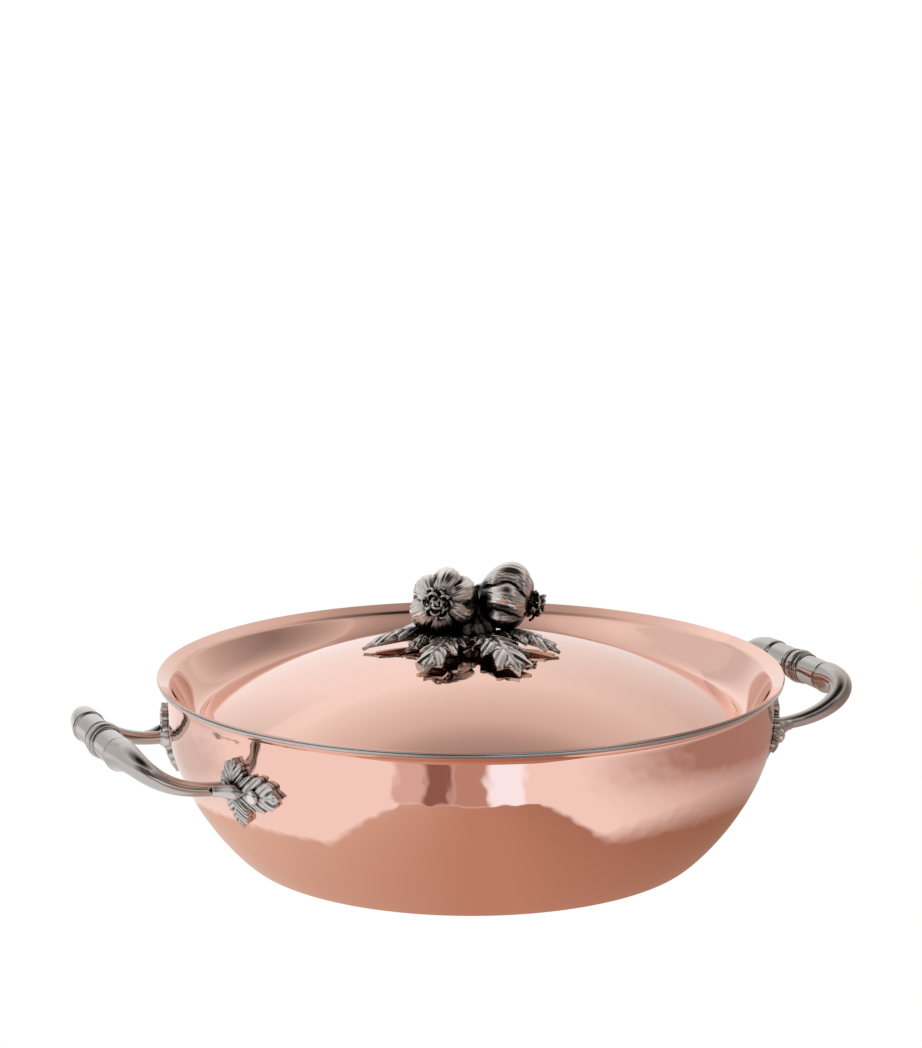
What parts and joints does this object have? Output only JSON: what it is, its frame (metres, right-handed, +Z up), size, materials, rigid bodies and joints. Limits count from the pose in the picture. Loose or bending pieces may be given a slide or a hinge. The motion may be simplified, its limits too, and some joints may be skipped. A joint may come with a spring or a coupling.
{
  "type": "chef pot with lid",
  "caption": "Shallow rounded copper pot with a bright lining, a nested domed lid with a cast garlic finial, and cast bow handles riveted on through leaf brackets",
  "frame": {"origin": "centre of the flat base, on the surface the pot stands on", "axes": "+Z up, +X to the right handle, -Y to the front"},
  "size_m": [0.3812, 0.3, 0.1383],
  "materials": {
    "copper": "polished copper, hammered on the pot wall",
    "lining": "bright satin lining",
    "bright_silver": "polished silver plate",
    "antique_silver": "satin silver plate with dark recesses"
  },
  "bodies": {
    "pot": {"pot_shell": "copper", "pot_lining": "lining", "right_handle_bar": "bright_silver", "left_handle_bar": "bright_silver", "right_front_rivet": "bright_silver", "right_rear_rivet": "bright_silver", "left_front_rivet": "bright_silver", "left_rear_rivet": "bright_silver", "right_front_leaf": "antique_silver", "right_rear_leaf": "antique_silver", "left_front_leaf": "antique_silver", "left_rear_leaf": "antique_silver"},
    "lid": {"lid_shell": "copper", "lid_lining": "lining", "finial_washer": "bright_silver", "finial_screw": "bright_silver", "left_garlic_head": "antique_silver", "right_garlic_head": "antique_silver", "left_root_tuft": "antique_silver", "right_root_tuft": "antique_silver", "finial_hub": "antique_silver", "finial_leaf_left": "antique_silver", "finial_leaf_small": "antique_silver", "finial_leaf_front_left": "antique_silver", "finial_leaf_front": "antique_silver", "finial_leaf_front_right": "antique_silver", "finial_leaf_rear_right": "antique_silver", "finial_leaf_rear_left": "antique_silver"}
  },
  "joints": [
    {"name": "lid_lift", "type": "slide", "parent": "pot", "child": "lid", "axis": [0, 0, 1], "range_m": [0, 0.15]}
  ]
}
